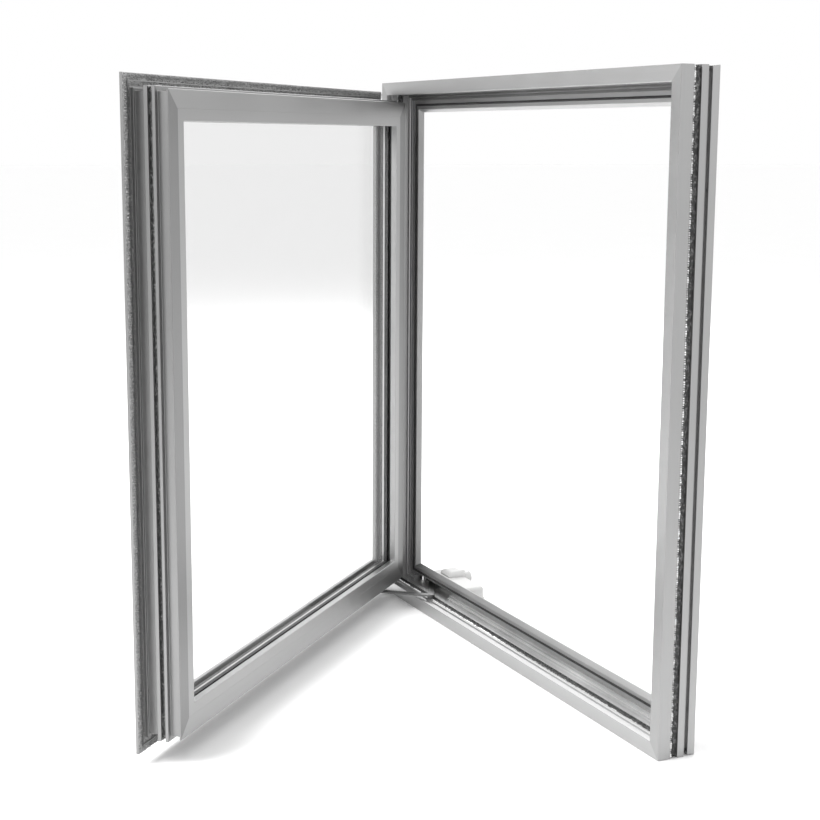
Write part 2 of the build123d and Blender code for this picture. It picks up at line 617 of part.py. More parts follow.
def case_block(floor_top, inset):
    """The cover's outside with the dome over the spindle, or the hollow that lies inset within."""
    right = CASE_RIGHT - inset
    back = CASE_BACK - inset
    top = CASE_TOP - inset
    margin = 1.0 if inset else 0.0
    block = box(CASE_LEFT + inset, CASE_FRONT - margin, floor_top - margin, right, back, top)
    rounded = [e for e in block.edges() if e.center().Z > top - 0.1
               and e.center().Y > CASE_FRONT + 1]
    rounded += [e for e in block.edges().filter_by(Axis.Z) if e.center().Y > back - 1]
    block = fillet(rounded, CASE_CORNER - inset)
    half = DOME_WIDTH / 2 - inset
    dome = box(WORM_X - half, back - DOME_DEPTH + inset, floor_top - margin, WORM_X + half, back,
               DOME_TOP - inset)
    dome_edges = [e for e in dome.edges() if e.center().Z > DOME_TOP - inset - 0.1]
    return block + fillet(dome_edges, DOME_CORNER - inset)


def build_case():
    pivot = (PIVOT_X, PIVOT_Y)
    floor_top = CASE_BOTTOM + CASE_FLOOR
    gear_top = GEAR_BOTTOM + GEAR_HEIGHT
    base = box(CASE_LEFT, CASE_FRONT, CASE_BOTTOM, CASE_RIGHT, CASE_BACK, floor_top)
    base += box(CASE_LEFT, CASE_FRONT, CASE_BOTTOM - 12, CASE_RIGHT, CASE_FRONT + 2.4, CASE_BOTTOM)
    screw_z = CASE_BOTTOM - 6
    base += cylinder_z(*pivot, floor_top, ARM_BOTTOM - 0.2, HUB_RADIUS)
    base -= cylinder_z(*pivot, 0, 60, PIVOT_PIN)
    pin = cylinder_z(*pivot, CASE_BOTTOM + 0.4, gear_top + 1.6, PIVOT_PIN)
    pin += cylinder_z(*pivot, gear_top + 0.2, gear_top + 1.6, HUB_RADIUS - 1.5)
    add("arm_pivot_pin", pin)
    for x in (CASE_LEFT + 14, (CASE_LEFT + CASE_RIGHT) / 2, CASE_RIGHT - 14):
        shank = cylinder_y(x, screw_z, FRAME_DEPTH - 8, CASE_FRONT + 2.4, 1.9)
        screw = shank + cylinder_y(x, screw_z, CASE_FRONT + 2.4, CASE_FRONT + 4.2, 3.6)
        base -= screw
        drill("frame_sill_inner", [screw])
        add("operator_screws", screw)

    cover = case_block(floor_top, 0.0) - case_block(floor_top, CASE_WALL)
    cover += box(WORM_X - 4.6, CASE_FRONT + 0.2, ARM_TOP + 0.9, WORM_X + 6, CASE_FRONT + 2.6,
                 CASE_TOP - 1)
    post_y = CASE_BACK - 5.4
    for x in (CASE_LEFT + 5.0, CASE_RIGHT - 5.0):
        cover += cylinder_z(x, post_y, floor_top, CASE_TOP - 5, 3.2)
        screw = cylinder_z(x, post_y, CASE_BOTTOM, floor_top + 12, 1.4)
        screw += cylinder_z(x, post_y, CASE_BOTTOM - 1.6, CASE_BOTTOM, 2.8)
        cover -= screw
        base -= screw
        add("cover_screws", screw)
    cover -= cylinder_y(WORM_X, WORM_Z, CASE_FRONT - 1, CASE_FRONT + 10, WORM_CORE + RUNNING)
    cover -= cylinder_y(WORM_X, WORM_Z, CASE_BACK - 10, CASE_BACK + 10, WORM_CORE + BUSH_WALL)
    add("operator_base", base)
    add("operator_cover", cover)
    bush = cylinder_y(WORM_X, WORM_Z, CASE_BACK - 8, CASE_BACK + 1.4, WORM_CORE + BUSH_WALL)
    bush += cylinder_y(WORM_X, WORM_Z, CASE_BACK, CASE_BACK + 1.4, WORM_CORE + BUSH_WALL + 2)
    bush -= cylinder_y(WORM_X, WORM_Z, 0, 300, WORM_CORE + RUNNING)
    add("spindle_bush", bush)


def build_crank():
    hub_back = CASE_BACK + 2.0
    hub_front = hub_back + 15.0
    lever_back = hub_back + 3.0
    lever_front = lever_back + 6.0
    add("worm_shaft", cylinder_y(WORM_X, WORM_Z, CASE_FRONT + 0.3, hub_front - 1.5, WORM_CORE))
    reach_x = cos(radians(CRANK_POINTS))
    reach_z = sin(radians(CRANK_POINTS))
    knob_x = WORM_X + CRANK_RADIUS * reach_x
    knob_z = WORM_Z + CRANK_RADIUS * reach_z
    waist = 0.45 * CRANK_RADIUS
    stations = [(7.4, WORM_X, WORM_Z), (5.8, WORM_X + waist * reach_x, WORM_Z + waist * reach_z + 4),
                (6.5, knob_x, knob_z)]
    lever = cylinder_y(WORM_X, WORM_Z, hub_back, hub_front, 9.5)
    for (r0, x0, z0), (r1, x1, z1) in zip(stations, stations[1:]):
        web = make_hull((Pos(x0, z0) * Circle(r0) + Pos(x1, z1) * Circle(r1)).edges())
        lever += Pos(0, lever_front, 0) * extrude(Plane.XZ * web, amount=lever_front - lever_back)
    lever -= cylinder_y(WORM_X, WORM_Z, 0, hub_front - 1.5, WORM_CORE)
    lever -= cylinder_y(knob_x, knob_z, 0, 300, KNOB_PIN)
    screw_y = hub_back + 12.0
    screw = cylinder_z(WORM_X, screw_y, WORM_Z + WORM_CORE, WORM_Z + 9.0, 1.5)
    lever -= cylinder_z(WORM_X, screw_y, WORM_Z + WORM_CORE, WORM_Z + 12.0, 1.5)
    add("crank_lever", lever)
    add("crank_set_screw", screw)

    knob_start = lever_front + 0.4
    pin_end = knob_start + KNOB_LENGTH - 5.0
    pin = cylinder_y(knob_x, knob_z, lever_back - 1.2, pin_end, KNOB_PIN)
    pin += cylinder_y(knob_x, knob_z, lever_back - 1.2, lever_back, KNOB_PIN + 1.5)
    pin += cylinder_y(knob_x, knob_z, pin_end - 2.0, pin_end, KNOB_PIN + 0.9)
    add("knob_pin", pin)
    profile = outline([
        (0, 0), (5.4, 0), (6.0, 3.0), (KNOB_RADIUS, KNOB_LENGTH - 8),
        (KNOB_RADIUS - 1.0, KNOB_LENGTH), (0, KNOB_LENGTH),
    ], [0, 0.6, 1.0, 3.0, 3.0, 0])
    knob = Pos(knob_x, knob_start, knob_z) * revolve(profile, Axis.Y)
    knob -= cylinder_y(knob_x, knob_z, 0, pin_end - 2.3, KNOB_PIN + RUNNING)
    knob -= cylinder_y(knob_x, knob_z, pin_end - 2.3, pin_end + 0.3, KNOB_PIN + 0.9 + RUNNING)
    add("crank_knob", knob)


def build_bracket():
    """Plate under the bottom rail's fins with the stud that the link turns on, drawn closed."""
    top = SASH_INSET - FIN
    bottom = top - 2.0
    plate = box(STUD_X - 24, STUD_Y - 9.5, bottom, STUD_X + 24, STUD_Y + 9.5, top)
    plate = fillet(plate.edges().filter_by(Axis.Z), 4.0)
    head_low = LINK_BOTTOM - 1.0
    stud = cylinder_z(STUD_X, STUD_Y, head_low, bottom + 0.5, STUD_RADIUS)
    stud += cylinder_z(STUD_X, STUD_Y, head_low, LINK_BOTTOM - 0.15, STUD_RADIUS + 1.8)
    screws = []
    screw_y = depth(SASH_OUTER_FRONT + OUTER_FIN_WIDTH / 2)
    for x in (STUD_X - 17, STUD_X + 17):
        shank = cylinder_z(x, screw_y, bottom, top + 3.4, 1.6)
        screws.append(shank + Pos(x, screw_y, bottom + 0.7) * Cone(2.9, 1.6, 1.4))
    for screw in screws:
        plate -= screw
    drill("sash_bottom_rail_outer", screws)
    add_to_sash("sash_bracket", plate + stud)
    add_to_sash("bracket_screws", *screws)


# ---------------------------------------------------------------- assemble and write
build_frame()
build_sash()
for centre in (HINGE_FROM_SILL, FRAME_HEIGHT - HINGE_FROM_HEAD):
    build_hinge(centre)
build_bracket()
build_linkage()
build_case()
build_crank()

swing = Pos(HINGE_X, HINGE_Y, 0) * Rot(0, 0, -REST_OPENING) * Pos(-HINGE_X, -HINGE_Y, 0)
os.makedirs("parts", exist_ok=True)
for name, solids in parts.items():
    if name in on_sash:
        solids = [swing * solid for solid in solids]
    shape = solids[0] if len(solids) == 1 else Compound(children=solids)
    export_step(shape, f"parts/{name}.step")
print(len(parts), "nodes")
print("hinge axis", HINGE_X, HINGE_Y, "arm pivot", PIVOT_X, PIVOT_Y)
print("elbow", ELBOW_REST, "stud", STUD_REST, "worm", WORM_X, WORM_Z)
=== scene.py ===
# %% [markdown]
# # A crank casement window in aluminium
# The window stands open by 45 degrees. Its solids were drawn as parts and packed with their
# joints, and this script loads them as a fixed frame. Everything below is in metres, in that
# same frame: X along the sill, Y from the weather side into the room, Z up. The parts bring
# shape and size. The cells that follow add finishes, and the small things that repeat by the
# hundred, such as pile fibres, crimp marks and thread.

# %% Load the window
import bmesh
import bpy
import json
from math import cos, pi, radians, sin
from mathutils import Matrix, Vector


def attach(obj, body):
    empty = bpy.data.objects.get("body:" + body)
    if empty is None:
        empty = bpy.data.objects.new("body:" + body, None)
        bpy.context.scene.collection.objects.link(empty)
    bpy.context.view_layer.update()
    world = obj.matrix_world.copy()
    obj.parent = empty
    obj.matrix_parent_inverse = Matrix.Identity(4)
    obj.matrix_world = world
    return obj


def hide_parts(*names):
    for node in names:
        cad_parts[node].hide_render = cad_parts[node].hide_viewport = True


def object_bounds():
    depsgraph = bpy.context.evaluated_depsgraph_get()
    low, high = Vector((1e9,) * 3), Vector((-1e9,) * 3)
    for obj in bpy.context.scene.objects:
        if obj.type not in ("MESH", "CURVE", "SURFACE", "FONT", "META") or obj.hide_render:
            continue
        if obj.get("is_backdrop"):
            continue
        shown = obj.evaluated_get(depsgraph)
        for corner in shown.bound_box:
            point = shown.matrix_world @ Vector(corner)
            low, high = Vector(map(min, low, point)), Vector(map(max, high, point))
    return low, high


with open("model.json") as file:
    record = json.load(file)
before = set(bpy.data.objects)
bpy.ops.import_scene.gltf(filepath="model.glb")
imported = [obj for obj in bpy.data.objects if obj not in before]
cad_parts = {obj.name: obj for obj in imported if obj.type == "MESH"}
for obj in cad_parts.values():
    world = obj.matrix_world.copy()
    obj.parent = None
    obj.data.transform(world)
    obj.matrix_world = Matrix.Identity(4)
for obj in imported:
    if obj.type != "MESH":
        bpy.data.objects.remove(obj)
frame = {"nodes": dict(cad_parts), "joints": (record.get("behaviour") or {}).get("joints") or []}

SIZES = {"cad": [list(corner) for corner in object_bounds()]}
NODES = frame["nodes"]
print(len(NODES), "nodes, box", SIZES["cad"])

# %% [markdown]
# ## Where things are
# Pieces for the sash are drawn as if it were closed, because every edge is then square to the
# axes. One matrix turns them about the hinge to where the sash stands. The hinge comes from
# the window's own joint list, and millimetres turn to metres in one place.

# %% The hinge, and the swing of the sash
MM = 0.001
REST_OPENING = radians(45.0)
JOINTS = {joint["name"]: joint for joint in frame["joints"]}
HINGE = Vector(JOINTS["sash_hinge"]["pos_m"])
TO_REST = (Matrix.Translation(HINGE) @ Matrix.Rotation(-REST_OPENING, 4, "Z")
           @ Matrix.Translation(-HINGE))
HERE = Matrix.Identity(4)
FRAME_SIZE = 914.4
FACE = 21.0
SASH_INSET = 34.5
SASH_FACE_Y = 47.3
print("hinge axis at", [round(v, 4) for v in HINGE])

# %% [markdown]
# ## The camera
# The view is from the weather side, to the right of the window and a little above its middle,
# with a lens of moderate length. The camera is placed by its heading, its tilt and a very
# small roll, so that each turn is one number, and the three axes are worked out from them.

# %% Camera
camera_data = bpy.data.cameras.new("camera")
camera_data.lens = 69.37
camera_data.sensor_width = 36.0
camera_data.clip_end = 50.0
camera = bpy.data.objects.new("camera", camera_data)
bpy.context.scene.collection.objects.link(camera)
heading, tilt, roll = -1.13359, -0.17182, 0.00598
ahead = Vector((sin(heading) * cos(tilt), cos(heading) * cos(tilt), sin(tilt)))
side = Vector((cos(heading), -sin(heading), 0.0))
above = side.cross(ahead)
right = side * cos(roll) + above * sin(roll)
up = above * cos(roll) - side * sin(roll)
turn = Matrix((right, up, -ahead)).transposed().to_4x4()
viewpoint = Vector((2.1326, -1.1526, 0.8238))
camera.matrix_world = Matrix.Translation(viewpoint) @ turn
bpy.context.scene.camera = camera
print("camera at", list(viewpoint))

# %% [markdown]
# ## Two helpers for node trees
# Worlds, finishes and Geometry Nodes are all node trees, so one function adds a node with its
# settings and links. Colours are written as sRGB hex, and shaders work in linear light, so a
# second function turns one into the other.

# %% Add a node, and turn a colour to linear
def add_node(tree, kind, settings=None, inputs=None):
    """Add a node, set its own settings, then set or link its inputs."""
    made = tree.nodes.new(kind)
    for key, value in (settings or {}).items():
        setattr(made, key, value)
    for key, value in (inputs or {}).items():
        if isinstance(value, bpy.types.NodeSocket):
            tree.links.new(value, made.inputs[key])
        else:
            made.inputs[key].default_value = value
    return made


def linear(code):
    """Turn an sRGB hex colour into the linear values that shaders use, fully opaque."""
    values = [int(code[i:i + 2], 16) / 255 for i in (1, 3, 5)]
    return [v / 12.92 if v <= 0.04045 else ((v + 0.055) / 1.055) ** 2.4 for v in values] + [1.0]


# %% [markdown]
# ## Surround and light
# A white surround gives satin metal something plain to reflect. A large soft lamp in front of
# the window lights the outer faces, and one behind it, high on the left, points
# steeply down and runs bright lines along the lips of the sill. A weak one on the right keeps
# the jamb's side darker than its face. Large lamps keep the shadows soft.

# %% Surround and lamps
world = bpy.data.worlds.new("studio")
bpy.context.scene.world = world
world.use_nodes = True
world.node_tree.nodes["Background"].inputs["Color"].default_value = linear("#FFFFFF")
world.node_tree.nodes["Background"].inputs["Strength"].default_value = 1.0
bpy.context.scene.view_settings.view_transform = "Standard"


def lamp(name, place, target, size, power):
    """A rectangular lamp that points at target: metres, and watts."""
    data = bpy.data.lights.new(name, "AREA")
    data.shape = "RECTANGLE"
    data.size, data.size_y = size
    data.energy = power
    made = bpy.data.objects.new(name, data)
    bpy.context.scene.collection.objects.link(made)
    made.location = place
    made.rotation_mode = "QUATERNION"
    made.rotation_quaternion = (Vector(target) - Vector(place)).to_track_quat("-Z", "Y")


lamp("front_softbox", (-0.2, -2.0, 2.1), (-0.5, -0.9, 0.0), (1.8, 1.6), 100.0)
lamp("right_softbox", (3.6, 1.2, 1.8), (0.0, 0.0, 0.4), (1.8, 1.8), 8.0)
lamp("back_softbox", (-2.8, 1.8, 1.9), (-2.2, 1.4, 0.0), (3.0, 2.4), 52.0)

# %% [markdown]
# ## Helpers for finishes
# Every finish but the glass is a node tree on the Principled shader. It reads Object
# coordinates, so the pattern stays in the metal when the sash swings. Numbers that are the same
# all over go straight on the shader.

# %% Start a finish
def new_finish(name, roughness, metallic=0.0, ior=1.5):
    finish = bpy.data.materials.new(name)
    finish.use_nodes = True
    tree = finish.node_tree
    shader = tree.nodes["Principled BSDF"]
    shader.inputs["Roughness"].default_value = roughness
    shader.inputs["Metallic"].default_value = metallic
    if not metallic:
        shader.inputs["IOR"].default_value = ior
    place = add_node(tree, "ShaderNodeTexCoord").outputs["Object"]
    return finish, tree, shader, place


def grey_mix(tree, shader, factor, dark, light, socket="Base Color"):
    """Blend two colours by a pattern, into one of the shader's colours."""
    blend = add_node(tree, "ShaderNodeMix", {"data_type": "RGBA"},
                     {0: factor, 6: linear(dark), 7: linear(light)})
    tree.links.new(blend.outputs[2], shader.inputs[socket])


def vary(tree, shader, socket, value, low, high):
    """Let a pattern between 0 and 1 drive a number of the shader."""
    spread = add_node(tree, "ShaderNodeMapRange", {},
                      {"Value": value, "From Min": 0.3, "From Max": 0.7,
                       "To Min": low, "To Max": high})
    tree.links.new(spread.outputs["Result"], shader.inputs[socket])


def bump(tree, shader, height, strength, distance):
    relief = add_node(tree, "ShaderNodeBump", {},
                      {"Height": height, "Strength": strength, "Distance": distance})
    tree.links.new(relief.outputs["Normal"], shader.inputs["Normal"])


# %% [markdown]
# ## Satin anodised aluminium
# The frame and sash are extruded bars, etched and clear anodised. Etching leaves a satin
# surface, and the die leaves faint lines along each bar. The lines are about 0.1 mm apart on
# the real bar, too fine to show, so they are drawn 1.5 mm apart. The lines follow the bar, so
# there is a finish for along the sill, one for up the jambs, and one each for the rails and
# the stiles of the open sash. The stiles' finish is a darker grey than the rails', as painted
# shade. The head's and the sill's inner bars have coarser lines about 4 mm and 3 mm apart. The
# head's inner bar is painted dark, as painted shade under the head, and the sill's runs up to
# white, as painted light on its upward faces.

# %% Satin anodised aluminium
def satin_bar(name, turn, stretch, dark, light):
    finish, tree, shader, place = new_finish(name, 0.4, metallic=1.0)
    turned = add_node(tree, "ShaderNodeMapping", {}, {"Vector": place, "Rotation": turn})
    along = add_node(tree, "ShaderNodeMapping", {},
                     {"Vector": turned.outputs["Vector"], "Scale": stretch})
    lines = add_node(tree, "ShaderNodeTexNoise", {},
                     {"Vector": along.outputs["Vector"], "Scale": 1.0, "Detail": 3.0,
                      "Roughness": 0.6})
    clouds = add_node(tree, "ShaderNodeTexNoise", {},
                      {"Vector": turned.outputs["Vector"], "Scale": 9.0, "Detail": 4.0})
    both = add_node(tree, "ShaderNodeMix", {"data_type": "FLOAT"},
                    {0: 0.45, 2: lines.outputs["Fac"], 3: clouds.outputs["Fac"]})
    grey_mix(tree, shader, both.outputs[0], dark, light)
    vary(tree, shader, "Roughness", both.outputs[0], 0.34, 0.46)
    bump(tree, shader, lines.outputs["Fac"], 0.12, 0.0002)
    return finish


LINE_SPACING_MM = 1.5
FINE = 1000 / LINE_SPACING_MM       # lines in a metre across the bar
LONG, LONGER = 4, 3                 # changes in a metre along the bar
HEAD_LINES, SILL_LINES = 260, 320
FLAT, SWUNG = (0, 0, 0), (0, 0, REST_OPENING)
ALONG_X = satin_bar("satin_anodised_along_sill", FLAT, (LONG, FINE, FINE), "#A8A8A8", "#B8B8B8")
UPRIGHT = satin_bar("satin_anodised_upright", FLAT, (FINE, FINE, LONG), "#9C9C9C", "#AAAAAA")
RAIL = satin_bar("satin_anodised_along_rail", SWUNG, (LONG, FINE, FINE), "#A0A0A0", "#ADADAD")
# The head's inner bar is painted dark, as painted shade under the head.
HEAD_REBATE_PAINTED_SHADE = satin_bar("satin_anodised_head_rebate_painted_shade", FLAT, (LONGER, HEAD_LINES, HEAD_LINES),
                   "#3C3C3C", "#9E9E9E")
# The sill's inner bar runs up to white, as painted light and highlight on its upward faces.
SILL_REBATE_PAINTED_LIGHT = satin_bar("satin_anodised_sill_rebate_painted_light", FLAT, (LONGER, SILL_LINES, SILL_LINES),
                        "#707070", "#FFFFFF")
# The stiles are a darker grey than the rails, as painted shade.
STILE_PAINTED_SHADE = satin_bar("satin_anodised_stile_painted_shade", SWUNG, (FINE, FINE, LONG), "#858585", "#919191")
SATINS = (ALONG_X, UPRIGHT, RAIL, HEAD_REBATE_PAINTED_SHADE, SILL_REBATE_PAINTED_LIGHT, STILE_PAINTED_SHADE)
print("satin finishes:", [finish.name for finish in SATINS])

# %% [markdown]
# ## Polyamide, rubber, pile and sealant
# The two halves of each bar are joined by black polyamide filled with chopped glass. The glass
# shows as fine pale flecks and a dry, matt surface. Seals are moulded EPDM rubber, with a
# slight bloom. The pile strip is woven polypropylene, which scatters light at its edges. Flecks
# and fibres of a tenth of a millimetre don't show, so each pattern is drawn at 1.5 to 8 mm.

# %% Glass-filled polyamide
def flecked(name, dark, fleck, roughness, fleck_size_mm, amount):
    finish, tree, shader, place = new_finish(name, roughness, ior=1.53)
    grains = add_node(tree, "ShaderNodeTexNoise", {},
                      {"Vector": place, "Scale": 1000 / fleck_size_mm, "Detail": 2.0,
                       "Roughness": 0.7})
    picked = add_node(tree, "ShaderNodeMapRange", {},
                      {"Value": grains.outputs["Fac"], "From Min": amount, "From Max": 0.75})
    grey_mix(tree, shader, picked.outputs["Result"], dark, fleck)
    vary(tree, shader, "Roughness", grains.outputs["Fac"], roughness - 0.1, roughness + 0.1)
    bump(tree, shader, grains.outputs["Fac"], 0.5, 0.0003)
    return finish


POLYAMIDE = flecked("glass_filled_polyamide", "#161616", "#8A8A8A", 0.6, 3.0, 0.5)
EPDM = flecked("epdm_rubber", "#181818", "#3C3C3C", 0.7, 2.0, 0.45)
BUTYL = flecked("butyl_sealant", "#0F0F0F", "#1C1C1C", 0.45, 8.0, 0.4)
PILE = flecked("woven_polypropylene_pile", "#6E6E6E", "#D8D8D8", 0.9, 1.5, 0.45)
PILE.node_tree.nodes["Principled BSDF"].inputs["Sheen Weight"].default_value = 0.4
BLOCK = flecked("moulded_polyethylene_block", "#2A2A2D", "#38383B", 0.5, 6.0, 0.4)

# %% [markdown]
# ## Float glass
# Float glass is almost perfectly flat, so a thin pane shifts what is behind it by less than its
# thickness. A full glass shader bends light at every face, which costs samples and adds
# little. Here each face lets light straight through with a trace of grey, and a reflection is
# mixed in that grows at grazing angles as Schlick's fifth power does. A Fresnel node would
# turn the far face of each pane into a mirror, because the light isn't bent on its way in.

# %% Float glass
SCHLICK_POWER = 5.0
EDGE_ON_SHARE, FACE_ON_SHARE = 0.5, 0.02
GLASS = bpy.data.materials.new("clear_float_glass")
GLASS.use_nodes = True
tree = GLASS.node_tree
tree.nodes.remove(tree.nodes["Principled BSDF"])
place = add_node(tree, "ShaderNodeTexCoord").outputs["Object"]
dust = add_node(tree, "ShaderNodeTexNoise", {}, {"Vector": place, "Scale": 6.0, "Detail": 3.0})
haze = add_node(tree, "ShaderNodeMapRange", {},
                {"Value": dust.outputs["Fac"], "To Min": 0.02, "To Max": 0.06})
clear = add_node(tree, "ShaderNodeBsdfTransparent", {}, {"Color": linear("#FBFBFB")})
gloss = add_node(tree, "ShaderNodeBsdfGlossy", {},
                 {"Color": linear("#F2F2F2"), "Roughness": haze.outputs["Result"]})
facing = add_node(tree, "ShaderNodeLayerWeight", {}, {"Blend": 0.5})
schlick = add_node(tree, "ShaderNodeMath", {"operation": "POWER"},
                   {0: facing.outputs["Facing"], 1: SCHLICK_POWER})
edge_on = add_node(tree, "ShaderNodeMath", {"operation": "MULTIPLY_ADD"},
                   {0: schlick.outputs["Value"], 1: EDGE_ON_SHARE, 2: FACE_ON_SHARE})
pane = add_node(tree, "ShaderNodeMixShader", {},
                {0: edge_on.outputs["Value"], 1: clear.outputs["BSDF"], 2: gloss.outputs["BSDF"]})
tree.links.new(pane.outputs["Shader"], tree.nodes["Material Output"].inputs["Surface"])

# %% [markdown]
# ## Steel, bronze and aluminium of the hardware
# The arm and link are pressed stainless steel with a rolled grain, coloured darker than the
# turned stainless as painted shade, and screws and pins are turned stainless. The gear is
# phosphated, which leaves it dark and matt. The bush is sintered bronze. Grains are drawn 1 to
# 5 mm wide, coarser than real ones, so that they show. Lips rolled by the knurled wheel take two
# copies of one metal: near-white on the frame's outside as painted highlight, and dark in the
# shade as painted shade.

# %% Metals of the hardware
def hardware_metal(name, dark, light, low, high, grain_mm):
    finish, tree, shader, place = new_finish(name, (low + high) / 2, metallic=1.0)
    grain = add_node(tree, "ShaderNodeTexNoise", {},
                     {"Vector": place, "Scale": 1000 / grain_mm, "Detail": 4.0})
    grey_mix(tree, shader, grain.outputs["Fac"], dark, light)
    vary(tree, shader, "Roughness", grain.outputs["Fac"], low, high)
    bump(tree, shader, grain.outputs["Fac"], 0.1, 0.0001)
    return finish


# Darker than the turned stainless below, as painted shade on the arm and link.
STAINLESS_PAINTED_SHADE = hardware_metal("rolled_stainless_steel_painted_shade", "#5C5C5C", "#868686", 0.3, 0.45, 3.0)
TURNED = hardware_metal("turned_stainless_steel", "#A5A5A5", "#C2C2C2", 0.18, 0.3, 1.5)
PHOSPHATED = hardware_metal("phosphated_steel", "#383838", "#5C5C5C", 0.45, 0.6, 1.5)
# Two copies of one metal for the knurled lips: near-white as painted highlight, dark as painted
# shade.
LIP_PAINTED_HIGHLIGHT = hardware_metal("knurled_lip_painted_highlight", "#E6E6E6", "#FCFCFC", 0.2, 0.4, 2.0)
LIP_PAINTED_SHADE = hardware_metal("knurled_lip_painted_shade", "#4C4C4C", "#8C8C8C", 0.4, 0.55, 2.0)
BRONZE = hardware_metal("sintered_bronze", "#7C5F36", "#98794A", 0.4, 0.55, 1.0)
MILL = hardware_metal("mill_finish_aluminium", "#B4B4B4", "#D2D2D2", 0.3, 0.45, 4.0)
LEAF_METAL = hardware_metal("anodised_hinge_leaf", "#8C8C8C", "#A2A2A2", 0.35, 0.45, 5.0)

# %% [markdown]
# ## Powder coat and nylon
# The case, crank and knob are zinc castings under pale powder coat, which dries with a fine
# orange peel about 2 mm across. A bump of that size breaks up its highlights. The washers are
# moulded nylon, with a wider and shallower ripple.

# %% Powder coat and nylon
def coated(name, dark, light, roughness, peel_mm, depth):
    finish, tree, shader, place = new_finish(name, roughness)
    peel = add_node(tree, "ShaderNodeTexNoise", {},
                    {"Vector": place, "Scale": 1000 / peel_mm, "Detail": 2.0})
    clouds = add_node(tree, "ShaderNodeTexNoise", {},
                      {"Vector": place, "Scale": 30.0, "Detail": 3.0})
    grey_mix(tree, shader, clouds.outputs["Fac"], dark, light)
    vary(tree, shader, "Roughness", clouds.outputs["Fac"], roughness - 0.05, roughness + 0.08)
    bump(tree, shader, peel.outputs["Fac"], 0.15, depth)
    return finish


POWDER = coated("pale_powder_coat", "#BEBEBD", "#CACAC9", 0.38, 2.0, 0.0003)
NYLON = coated("white_nylon", "#E6E5E0", "#F0EFEB", 0.45, 4.0, 0.0002)

# %% [markdown]
# ## Finishes on the parts
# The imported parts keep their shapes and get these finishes, by what each is made of and which
# way its bar runs. A list at the end names any part that was forgotten.

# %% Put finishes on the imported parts
FINISHES = {
    ALONG_X: ["frame_head_outer", "frame_sill_outer", "stop_head", "stop_sill"],
    HEAD_REBATE_PAINTED_SHADE: ["frame_head_inner"],
    SILL_REBATE_PAINTED_LIGHT: ["frame_sill_inner"],
    UPRIGHT: ["frame_jamb_left_outer", "frame_jamb_left_inner", "frame_jamb_right_outer",
              "frame_jamb_right_inner", "stop_jamb_left", "stop_jamb_right"],
    STILE_PAINTED_SHADE: ["sash_hinge_stile_inner", "sash_hinge_stile_outer", "sash_lock_stile_inner",
            "sash_lock_stile_outer"],
    RAIL: ["sash_top_rail_inner", "sash_top_rail_outer", "sash_bottom_rail_inner",
           "sash_bottom_rail_outer", "glazing_beads"],
    POLYAMIDE: ["frame_thermal_bars", "sash_thermal_bars"],
    EPDM: ["frame_seal", "glazing_gasket_inner", "glazing_gasket_outer"],
    BUTYL: ["glass_edge_seal"],
    PILE: ["sash_pile_seal"],
    BLOCK: ["glass_setting_blocks"],
    GLASS: ["glass_inner_pane", "glass_outer_pane"],
    MILL: ["glass_spacer", "frame_corner_keys", "sash_corner_keys"],
    LEAF_METAL: ["hinge_frame_leaves", "hinge_sash_leaves"],
    TURNED: ["hinge_pins", "hinge_frame_screws", "hinge_sash_screws", "operator_screws",
             "cover_screws", "bracket_screws", "worm_shaft",
             "crank_set_screw", "knob_pin"],
    STAINLESS_PAINTED_SHADE: ["drive_arm", "link_arm", "sash_bracket", "elbow_rivet"],
    PHOSPHATED: ["drive_gear", "arm_pivot_pin"],
    BRONZE: ["spindle_bush"],
    NYLON: ["hinge_washers"],
    POWDER: ["operator_cover", "operator_base", "crank_lever", "crank_knob"],
}
for finish, names in FINISHES.items():
    for name in names:
        NODES[name].data.materials.clear()
        NODES[name].data.materials.append(finish)
unfinished = sorted(set(NODES) - {name for names in FINISHES.values() for name in names})
print("parts with no finish:", unfinished)

# %% [markdown]
# ## Helpers for pieces
# Three things come up again and again. A ring is a profile carried round the four sides of the
# frame or sash with mitred corners, drawn from a list of points. A path is the same with one
# point, as a loop of edges that Geometry Nodes can follow. And each grown piece is settled in
# one way: it rides on a body and replaces the imported solid that it details.

# %% Rings, paths and settling
SASH_CORNER = FRAME_SIZE / 2 - SASH_INSET
FRAME_CORNER = FRAME_SIZE / 2


def corners(half, inwards, y):
    """The four corners of a rectangle, inwards from its outline, in metres."""
    reach = half - inwards
    middle = FRAME_SIZE / 2
    return [Vector((reach * a, y, middle + reach * b)) * MM
            for a, b in ((-1, -1), (1, -1), (1, 1), (-1, 1))]


def ring_mesh(name, profile, half):
    """Carry a closed profile of (inwards, y) points round a rectangle, in millimetres."""
    verts = [corner for inwards, y in profile for corner in corners(half, inwards, y)]
    faces = []
    for i in range(len(profile)):
        j = (i + 1) % len(profile)
        for k in range(4):
            m = (k + 1) % 4
            faces.append((4 * i + k, 4 * i + m, 4 * j + m, 4 * j + k))
    mesh = bpy.data.meshes.new(name)
    mesh.from_pydata(verts, [], faces)
    work = bmesh.new()
    work.from_mesh(mesh)
    bmesh.ops.recalc_face_normals(work, faces=work.faces)
    work.to_mesh(mesh)
    work.free()
    return mesh


def path_mesh(name, loops, half):
    """Closed loops of edges, each from one (inwards, y) point."""
    verts = [corner for inwards, y in loops for corner in corners(half, inwards, y)]
    edges = [(4 * i + k, 4 * i + (k + 1) % 4) for i in range(len(loops)) for k in range(4)]
    mesh = bpy.data.meshes.new(name)
    mesh.from_pydata(verts, edges, [])
    return mesh


